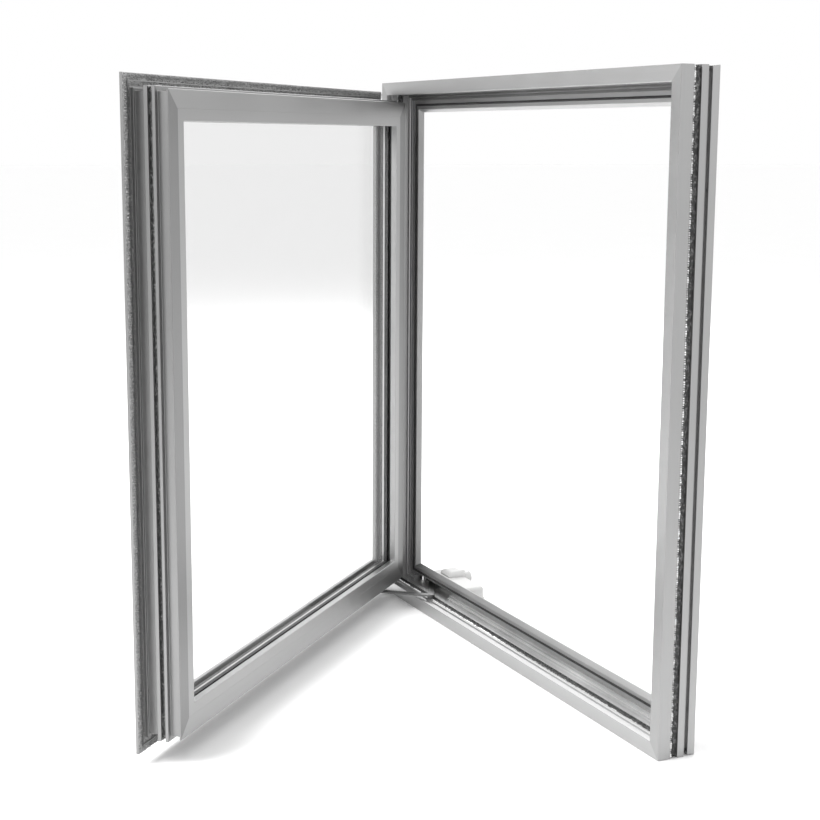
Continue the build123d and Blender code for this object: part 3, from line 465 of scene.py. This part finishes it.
def settle(name, mesh, turn, body, finish=None, replaced=()):
    """Make the object, put it where its body stands, and hide the parts it replaces."""
    mesh.transform(turn)
    if finish is not None:
        mesh.materials.clear()
        mesh.materials.append(finish)
    piece = bpy.data.objects.new(name, mesh)
    bpy.context.scene.collection.objects.link(piece)
    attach(piece, body)
    if replaced:
        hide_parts(*replaced)
    print(name, "faces", len(mesh.polygons))


# %% [markdown]
# ## Helpers for grown pieces
# Geometry Nodes make what repeats. Each tree takes a carrier's geometry, its sizes by name and
# a finish, and ends with Realize Instances and Set Material, so that the result is ordinary
# geometry. The grow function puts a tree on a carrier, sets its inputs, and keeps the result
# as a plain mesh.

# %% Start, finish and run a tree
def start_tree(name, sizes):
    tree = bpy.data.node_groups.new(name, "GeometryNodeTree")
    tree.interface.new_socket("Geometry", in_out="INPUT", socket_type="NodeSocketGeometry")
    for label in sizes:
        tree.interface.new_socket(label, in_out="INPUT", socket_type="NodeSocketFloat")
    tree.interface.new_socket("Finish", in_out="INPUT", socket_type="NodeSocketMaterial")
    tree.interface.new_socket("Geometry", in_out="OUTPUT", socket_type="NodeSocketGeometry")
    return tree, add_node(tree, "NodeGroupInput").outputs


def end_tree(tree, geometry, finish):
    real = add_node(tree, "GeometryNodeRealizeInstances", {}, {"Geometry": geometry})
    painted = add_node(tree, "GeometryNodeSetMaterial", {},
                       {"Geometry": real.outputs["Geometry"], "Material": finish})
    add_node(tree, "NodeGroupOutput", {}, {"Geometry": painted.outputs["Geometry"]})


def grow(tree, carrier_mesh, finish, sizes):
    """Run a tree on a mesh and return the result as a plain mesh; sizes are in metres."""
    carrier = bpy.data.objects.new("carrier", carrier_mesh)
    bpy.context.scene.collection.objects.link(carrier)
    modifier = carrier.modifiers.new("grow", "NODES")
    modifier.node_group = tree
    values = dict(sizes, Finish=finish)
    for socket in tree.interface.items_tree:
        if socket.in_out == "INPUT" and socket.name in values:
            modifier[socket.identifier] = values[socket.name]
    bpy.context.view_layer.update()
    evaluated = carrier.evaluated_get(bpy.context.evaluated_depsgraph_get())
    result = bpy.data.meshes.new_from_object(evaluated)
    carrier.modifiers.clear()
    bpy.data.objects.remove(carrier)
    return result


# %% [markdown]
# ## Marks of the knurled wheel
# The lips that hold the polyamide are rolled down with a knurled wheel, so each lip carries a
# row of small teeth that catch the light beside the dark bar. The teeth are instances along
# loops that follow the lips. Their size varies, because the wheel slips. The real teeth are a
# millimetre apart, and are drawn two or three apart so that they show. The large ones sit
# further in than the small ones, so that none stands out past the frame.

# %% Knurled lips of the frame and the sash
TOOTH = {"Pitch": 3.0 * MM, "Width": 2.6 * MM, "Length": 2.4 * MM}
tree, given = start_tree("knurled_lip", TOOTH)
wire = add_node(tree, "GeometryNodeMeshToCurve", {}, {"Mesh": given["Geometry"]})
spots = add_node(tree, "GeometryNodeCurveToPoints", {"mode": "LENGTH"},
                 {"Curve": wire.outputs["Curve"], "Length": given["Pitch"]})
size = add_node(tree, "ShaderNodeCombineXYZ", {},
                {"X": given["Width"], "Y": given["Width"], "Z": given["Length"]})
tooth = add_node(tree, "GeometryNodeMeshCube", {}, {"Size": size.outputs["Vector"]})
slip = add_node(tree, "FunctionNodeRandomValue", {"data_type": "FLOAT"},
                {2: 0.3, 3: 1.0, "Seed": 3})
teeth = add_node(tree, "GeometryNodeInstanceOnPoints", {},
                 {"Points": spots.outputs["Points"], "Instance": tooth.outputs["Mesh"],
                  "Rotation": spots.outputs["Rotation"], "Scale": slip.outputs[1]})
end_tree(tree, teeth.outputs["Instances"], given["Finish"])

OUTER_EDGE, INNER_EDGE = 19.5, 31.0
LARGE_SET_IN, SMALL_SET_IN = 1.7, 0.6
SMALL_TOOTH = dict(TOOTH, Width=1.3 * MM, Length=1.2 * MM, Pitch=2.4 * MM)


def lips(inwards, y):
    """Loops at one depth, at each distance inwards from the outline."""
    return [(t, y) for t in inwards]


LARGE_INSET, SMALL_INSET = 1.8, 1.3
OUTER_LIPS = (LARGE_INSET, FACE - LARGE_INSET)
INNER_LIPS = (SMALL_INSET, FACE - SMALL_INSET)
# The frame's outer teeth take the near-white finish, as painted highlight; the frame's inner
# teeth and the sash's take the dark one, as painted shade.
bright = path_mesh("lips", lips(OUTER_LIPS, OUTER_EDGE + LARGE_SET_IN), FRAME_CORNER)
settle("frame_outer_knurled_lips", grow(tree, bright, LIP_PAINTED_HIGHLIGHT, TOOTH), HERE, "frame")
shaded = path_mesh("lips", lips(INNER_LIPS, INNER_EDGE - SMALL_SET_IN), FRAME_CORNER)
settle("frame_inner_knurled_lips", grow(tree, shaded, LIP_PAINTED_SHADE, SMALL_TOOTH), HERE, "frame")
GAP_FAR, GAP_NEAR = 27.2, 21.2
SASH_LIP = (-1.6,)
sash_loops = (lips(SASH_LIP, SASH_FACE_Y - GAP_FAR + SMALL_SET_IN)
              + lips(SASH_LIP, SASH_FACE_Y - GAP_NEAR - SMALL_SET_IN))
settle("sash_knurled_lips",
       grow(tree, path_mesh("lips", sash_loops, SASH_CORNER), LIP_PAINTED_SHADE, SMALL_TOOTH),
       TO_REST, "sash")

# %% [markdown]
# ## Pile seal
# The weather strip on the sash flange is woven pile: a backing tape with dense upright fibres.
# A solid strip would look like rubber. So the fibres are thin cones scattered over the tape,
# leaning a little and uneven in height, as cut pile is. Real fibres are finer, and these are
# drawn thick enough to show. The tall ones stand on the tape, and a shorter nap covers the
# rest of the flange.

# %% Pile seal of the sash
FIBRE = {"Density": 520000.0, "Height": 4.4 * MM, "Thickness": 0.38 * MM}
FIBRE_TIP = 0.00008
LEAN, SPIN = 0.16, 3.1
tree, given = start_tree("pile", FIBRE)
spots = add_node(tree, "GeometryNodeDistributePointsOnFaces", {"distribute_method": "RANDOM"},
                 {"Mesh": given["Geometry"], "Density": given["Density"], "Seed": 11})
fibre = add_node(tree, "GeometryNodeMeshCone", {},
                 {"Vertices": 3, "Radius Top": FIBRE_TIP, "Radius Bottom": given["Thickness"],
                  "Depth": given["Height"]})
lean = add_node(tree, "FunctionNodeRandomValue", {"data_type": "FLOAT_VECTOR"},
                {0: (-LEAN, -LEAN, -SPIN), 1: (LEAN, LEAN, SPIN), "Seed": 12})
turned = add_node(tree, "FunctionNodeRotateRotation", {"rotation_space": "LOCAL"},
                  {"Rotation": spots.outputs["Rotation"], "Rotate By": lean.outputs[0]})
cut = add_node(tree, "FunctionNodeRandomValue", {"data_type": "FLOAT"},
               {2: 0.7, 3: 1.0, "Seed": 13})
pile = add_node(tree, "GeometryNodeInstanceOnPoints", {},
                {"Points": spots.outputs["Points"], "Instance": fibre.outputs["Mesh"],
                 "Rotation": turned.outputs["Rotation"], "Scale": cut.outputs[1]})
end_tree(tree, pile.outputs["Instances"], given["Finish"])

PILE_OUT, PILE_IN = -18.3, -14.3
PILE_Y = -4.9


def strip_mesh(name, outer, inner, y):
    """A flat rectangular ring that faces the room."""
    mesh = bpy.data.meshes.new(name)
    mesh.from_pydata(corners(SASH_CORNER, outer, y) + corners(SASH_CORNER, inner, y), [],
                     [(k, 4 + k, 4 + (k + 1) % 4, (k + 1) % 4) for k in range(4)])
    mesh.update()
    if mesh.polygons[0].normal.y < 0:
        mesh.flip_normals()
    return mesh


tall_strip = strip_mesh("pile", PILE_OUT, PILE_IN, PILE_Y)
settle("pile_fibres", grow(tree, tall_strip, PILE, FIBRE), TO_REST, "sash", None,
       ["sash_pile_seal"])
NAP = dict(FIBRE, Density=330000.0, Height=1.5 * MM, Thickness=0.5 * MM)
NAP_OUT, NAP_IN = -13.6, -3.6
NAP_Y = -5.15
low_strip = strip_mesh("nap", NAP_OUT, NAP_IN, NAP_Y)
settle("pile_nap", grow(tree, low_strip, PILE, NAP), TO_REST, "sash")
TAPE_OUT, TAPE_IN = -18.8, -13.8
TAPE_LOW, TAPE_HIGH = -5.2, -4.7
tape = [(TAPE_OUT, TAPE_LOW), (TAPE_OUT, TAPE_HIGH), (TAPE_IN, TAPE_HIGH), (TAPE_IN, TAPE_LOW)]
settle("pile_tape", ring_mesh("tape", tape, SASH_CORNER), TO_REST, "sash", PILE)

# %% [markdown]
# ## Bulb seal of the frame
# The seal that the sash closes on is a hollow bulb of rubber, pushed into the stop by a root.
# Its outside is close to half an ellipse. A ring carries that profile round the frame in one
# piece, as a vulcanised frame gasket is. The hollow doesn't show, so it isn't drawn.

# %% Bulb seal
SEAL_MIDDLE, SEAL_HALF, SEAL_RISE = 37.8, 1.9, 1.7
STOP_Y = 49.6
BULB_STEPS = 10
BULB_FULLNESS = 0.7                 # under 1 is fuller than an ellipse
ROOT_HALF, ROOT_DEPTH = 1.0, 1.6
bulb = [(SEAL_MIDDLE - SEAL_HALF * cos(pi * i / BULB_STEPS),
         STOP_Y - SEAL_RISE * sin(pi * i / BULB_STEPS) ** BULB_FULLNESS)
        for i in range(BULB_STEPS + 1)]
root_right, root_left = SEAL_MIDDLE + ROOT_HALF, SEAL_MIDDLE - ROOT_HALF
root = [(root_right, STOP_Y), (root_right, STOP_Y + ROOT_DEPTH),
        (root_left, STOP_Y + ROOT_DEPTH), (root_left, STOP_Y)]
settle("frame_bulb_seal", ring_mesh("seal", bulb + root, FRAME_CORNER), HERE, "frame",
       EPDM, ["frame_seal"])

# %% [markdown]
# ## Glazing gaskets
# Each pane is held between rubber gaskets with a small lip that is wiped against the glass. The
# profile has a rounded shoulder by the metal and a thin lip by the glass, with a groove
# between them, and it is the same on both sides, turned to face its pane.

# %% Glazing gaskets
GASKET_LOW, GASKET_HIGH = 34.0, 39.5


def gasket(name, metal_n, glass_n, replaced):
    """Depths are from the sash's face; the second of each step is the share of the gap."""
    span = glass_n - metal_n
    steps = [(GASKET_LOW, 0.0), (GASKET_HIGH - 0.5, 0.0), (GASKET_HIGH, 0.18),
             (GASKET_HIGH - 0.1, 0.42), (GASKET_HIGH - 1.2, 0.55), (GASKET_HIGH - 1.0, 0.72),
             (GASKET_HIGH - 0.3, 0.9), (GASKET_HIGH - 0.5, 1.0), (GASKET_LOW, 1.0)]
    profile = [(t, SASH_FACE_Y - metal_n - span * share) for t, share in steps]
    settle(name, ring_mesh(name, profile, SASH_CORNER), TO_REST, "sash",
           EPDM, [replaced])


gasket("inner_glazing_gasket", 10.0, 13.0, "glazing_gasket_inner")
gasket("outer_glazing_gasket", 37.5, 35.0, "glazing_gasket_outer")

# %% [markdown]
# ## Warm-edge spacer
# Between the panes runs a dark spacer of low conduction, with a bright metal foil along its
# face. Two rows of fine perforations beside the foil let the drying beads inside take up
# moisture. A real one is a hole of a tenth of a millimetre with a bright rim. Only the glint of
# the rim shows, so each is a small bright ball set in the face, drawn larger than life.

# %% Spacer, foil and perforations
SPACER_FACE = 37.0
SPACER_BACK, SPACER_NEAR, SPACER_FAR = 30.0, 17.0, 31.0
FOIL_BACK, FOIL_NEAR, FOIL_FAR = 36.6, 23.0, 26.0
FOIL_PROUD = 0.15
SPACER_BODY = flecked("warm_edge_spacer", "#1A1A1A", "#565656", 0.55, 2.5, 0.45)


def band(low, high, near_n, far_n):
    """A rectangular profile between two distances inwards and two depths."""
    return [(low, SASH_FACE_Y - near_n), (high, SASH_FACE_Y - near_n),
            (high, SASH_FACE_Y - far_n), (low, SASH_FACE_Y - far_n)]


spacer_band = band(SPACER_BACK, SPACER_FACE, SPACER_NEAR, SPACER_FAR)
settle("warm_edge_spacer", ring_mesh("spacer", spacer_band, SASH_CORNER),
       TO_REST, "sash", SPACER_BODY, ["glass_spacer"])
foil_band = band(FOIL_BACK, SPACER_FACE + FOIL_PROUD, FOIL_NEAR, FOIL_FAR)
settle("spacer_foil", ring_mesh("foil", foil_band, SASH_CORNER),
       TO_REST, "sash", MILL)

GLINT_DEPTHS, GLINT_SUNK = (28.0, 30.0), 0.1
GLINT = {"Pitch": 3.5 * MM, "Radius": 0.45 * MM}
tree, given = start_tree("perforation", GLINT)
wire = add_node(tree, "GeometryNodeMeshToCurve", {}, {"Mesh": given["Geometry"]})
spots = add_node(tree, "GeometryNodeCurveToPoints", {"mode": "LENGTH"},
                 {"Curve": wire.outputs["Curve"], "Length": given["Pitch"]})
dot = add_node(tree, "GeometryNodeMeshIcoSphere", {}, {"Radius": given["Radius"],
                                                      "Subdivisions": 1})
dots = add_node(tree, "GeometryNodeInstanceOnPoints", {},
                {"Points": spots.outputs["Points"], "Instance": dot.outputs["Mesh"]})
end_tree(tree, dots.outputs["Instances"], given["Finish"])
rows = [(SPACER_FACE - GLINT_SUNK, SASH_FACE_Y - n) for n in GLINT_DEPTHS]
settle("spacer_perforations", grow(tree, path_mesh("rows", rows, SASH_CORNER), MILL, GLINT),
       TO_REST, "sash")

# %% [markdown]
# ## Screws
# Every screw has a cross recess, which the plain solids lack. One tree makes them all: a cone
# or a disc for the head, a shank, and two crossed bars cut out of the head. The places come
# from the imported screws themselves: a merged copy of each node's mesh falls into one island
# for each screw, and the island's box gives its middle and its length.

# %% Find the separate solids of a node
def islands(name, back):
    """Lowest and highest corner of each separate solid, after turning by back."""
    copy = bmesh.new()
    copy.from_mesh(NODES[name].data)
    bmesh.ops.remove_doubles(copy, verts=copy.verts, dist=1e-6)
    waiting = set(copy.verts)
    boxes = []
    while waiting:
        edge_of_search = [waiting.pop()]
        points = []
        while edge_of_search:
            vert = edge_of_search.pop()
            points.append(back @ vert.co)
            for edge in vert.link_edges:
                other = edge.other_vert(vert)
                if other in waiting:
                    waiting.remove(other)
                    edge_of_search.append(other)
        boxes.append((Vector([min(p[i] for p in points) for i in range(3)]),
                      Vector([max(p[i] for p in points) for i in range(3)])))
    copy.free()
    return sorted(boxes, key=lambda corner: tuple(corner[0]))


# %% [markdown]
# ## The screw and its cross
# The tree joins a head to a shank and takes two crossed bars out of the head. The shank is a
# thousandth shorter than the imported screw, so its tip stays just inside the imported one's. The
# screws of a node share one length, and stand on the node's own places.

# %% Grow the screws
RECESS_SHARE = 0.6                  # height of the cross, as a share of the head
SLIT_LONG, SLIT_NARROW = 1.1, 0.24  # shares of the face's radius
CLEAR_OF_END = 0.999
SCREW_SIZES = ("Face Radius", "Neck Radius", "Head", "Shank Radius", "Length", "Lean")
tree, given = start_tree("cross_recess_screw", SCREW_SIZES)
head = add_node(tree, "GeometryNodeMeshCone", {},
                {"Vertices": 24, "Radius Bottom": given["Face Radius"],
                 "Radius Top": given["Neck Radius"], "Depth": given["Head"]})
shank = add_node(tree, "GeometryNodeMeshCone", {},
                 {"Vertices": 16, "Radius Bottom": given["Shank Radius"],
                  "Radius Top": given["Shank Radius"], "Depth": given["Length"]})
recess_height = add_node(tree, "ShaderNodeMath", {"operation": "MULTIPLY"},
                         {0: given["Head"], 1: RECESS_SHARE})
arm = add_node(tree, "ShaderNodeMath", {"operation": "MULTIPLY"},
               {0: given["Face Radius"], 1: SLIT_LONG})
slit = add_node(tree, "ShaderNodeMath", {"operation": "MULTIPLY"},
                {0: given["Face Radius"], 1: SLIT_NARROW})
inner_shank = add_node(tree, "GeometryNodeTransform", {},
                       {"Geometry": shank.outputs["Mesh"], "Scale": (1.0, 1.0, CLEAR_OF_END)})
body = add_node(tree, "GeometryNodeMeshBoolean", {"operation": "UNION"})
tree.links.new(head.outputs["Mesh"], body.inputs["Mesh 2"])
tree.links.new(inner_shank.outputs["Geometry"], body.inputs["Mesh 2"])
recess = add_node(tree, "GeometryNodeMeshBoolean", {"operation": "DIFFERENCE"},
                  {"Mesh 1": body.outputs["Mesh"]})
for wide, narrow in ((arm, slit), (slit, arm)):
    bar_size = add_node(tree, "ShaderNodeCombineXYZ", {},
                        {"X": wide.outputs["Value"], "Y": narrow.outputs["Value"],
                         "Z": recess_height.outputs["Value"]})
    bar = add_node(tree, "GeometryNodeMeshCube", {}, {"Size": bar_size.outputs["Vector"]})
    tree.links.new(bar.outputs["Mesh"], recess.inputs["Mesh 2"])
turned = add_node(tree, "ShaderNodeCombineXYZ", {}, {"X": given["Lean"]})
screws = add_node(tree, "GeometryNodeInstanceOnPoints", {},
                  {"Points": given["Geometry"], "Instance": recess.outputs["Mesh"],
                   "Rotation": turned.outputs["Vector"]})
end_tree(tree, screws.outputs["Instances"], given["Finish"])

# node, body, turn, axis to the tip, sign, face radius, neck radius, head height, shank radius
SCREWS = [
    ("hinge_frame_screws", "frame", HERE, 1, 1, 3.0, 1.6, 1.8, 1.6),
    ("hinge_sash_screws", "sash", TO_REST, 1, 1, 3.0, 1.6, 1.8, 1.6),
    ("operator_screws", "frame", HERE, 1, -1, 3.1, 3.6, 1.8, 1.9),
    ("cover_screws", "frame", HERE, 2, 1, 2.4, 2.8, 1.6, 1.4),
]
LEANS = {(1, 1): -pi / 2, (1, -1): pi / 2, (2, 1): 0.0}
for node, body_name, stand, axis, sign, face, neck, head_height, shank_radius in SCREWS:
    places = []
    for low, high in islands(node, stand.inverted()):
        spot = (low + high) / 2
        spot[axis] = low[axis] if sign > 0 else high[axis]
        places.append(spot)
        screw_length = high[axis] - low[axis]
    points = bpy.data.meshes.new("places")
    points.from_pydata(places, [], [])
    sizes = {"Face Radius": face * MM, "Neck Radius": neck * MM, "Head": head_height * MM,
             "Shank Radius": shank_radius * MM, "Length": screw_length,
             "Lean": LEANS[axis, sign]}
    settle(node + "_cross", grow(tree, points, TURNED, sizes), stand, body_name,
           None, [node])

# %% [markdown]
# ## Worm thread
# The crank turns a worm, and forty of its turns swing the arm once round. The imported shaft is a
# plain core, so the thread is added here: a small six-sided profile follows a spiral of five
# turns about the shaft. A single thread moves the gear on by one tooth in each turn.

# %% Worm thread
WORM = JOINTS["crank_spindle"]["pos_m"]
THREAD = {"Radius": 4.1 * MM, "Run": 17.28 * MM, "Turns": 5.0}
THREAD_THICKNESS = 0.9 * MM
THREAD_START_Y = 0.0625
tree, given = start_tree("worm_thread", THREAD)
helix = add_node(tree, "GeometryNodeCurveSpiral", {},
                 {"Resolution": 40, "Rotations": given["Turns"], "Start Radius": given["Radius"],
                  "End Radius": given["Radius"], "Height": given["Run"], "Reverse": True})
profile = add_node(tree, "GeometryNodeCurvePrimitiveCircle", {"mode": "RADIUS"},
                   {"Resolution": 6, "Radius": THREAD_THICKNESS})
thread = add_node(tree, "GeometryNodeCurveToMesh", {},
                  {"Curve": helix.outputs["Curve"], "Profile Curve": profile.outputs["Curve"],
                   "Fill Caps": True})
end_tree(tree, thread.outputs["Mesh"], given["Finish"])
thread_mesh = grow(tree, bpy.data.meshes.new("seed"), TURNED, THREAD)
thread_start = Matrix.Translation((WORM[0], THREAD_START_Y, WORM[2]))
stand = thread_start @ Matrix.Rotation(-pi / 2, 4, "X")
settle("worm_thread", thread_mesh, stand, "crank")

# %% [markdown]
# ## Floor
# A pale painted floor carries the window's shadow and lights it from below. It is far wider
# than the view, so that no edge of it shows, and it lies half a millimetre under the sill so
# that the two faces don't flicker against each other.

# %% Floor
FLOOR_REACH, FLOOR_GAP = 40, 0.0005
floor_finish, tree, shader, place = new_finish("white_painted_floor", 0.7)
mottle = add_node(tree, "ShaderNodeTexNoise", {}, {"Vector": place, "Scale": 3.0})
grey_mix(tree, shader, mottle.outputs["Fac"], "#FDFDFD", "#FFFFFF")
floor_mesh = bpy.data.meshes.new("floor")
low_z = SIZES["cad"][0][2] - FLOOR_GAP
floor_corners = [(FLOOR_REACH * a, FLOOR_REACH * b, low_z)
                 for a, b in ((-1, -1), (1, -1), (1, 1), (-1, 1))]
floor_mesh.from_pydata(floor_corners, [], [(0, 1, 2, 3)])
floor_mesh.materials.append(floor_finish)
floor = bpy.data.objects.new("floor", floor_mesh)
bpy.context.scene.collection.objects.link(floor)
floor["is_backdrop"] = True

# %% [markdown]
# ## Sizes
# The box of the finished model is kept in SIZES beside the imported one.

# %% Keep the sizes
SIZES["visual"] = [list(corner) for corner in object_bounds()]
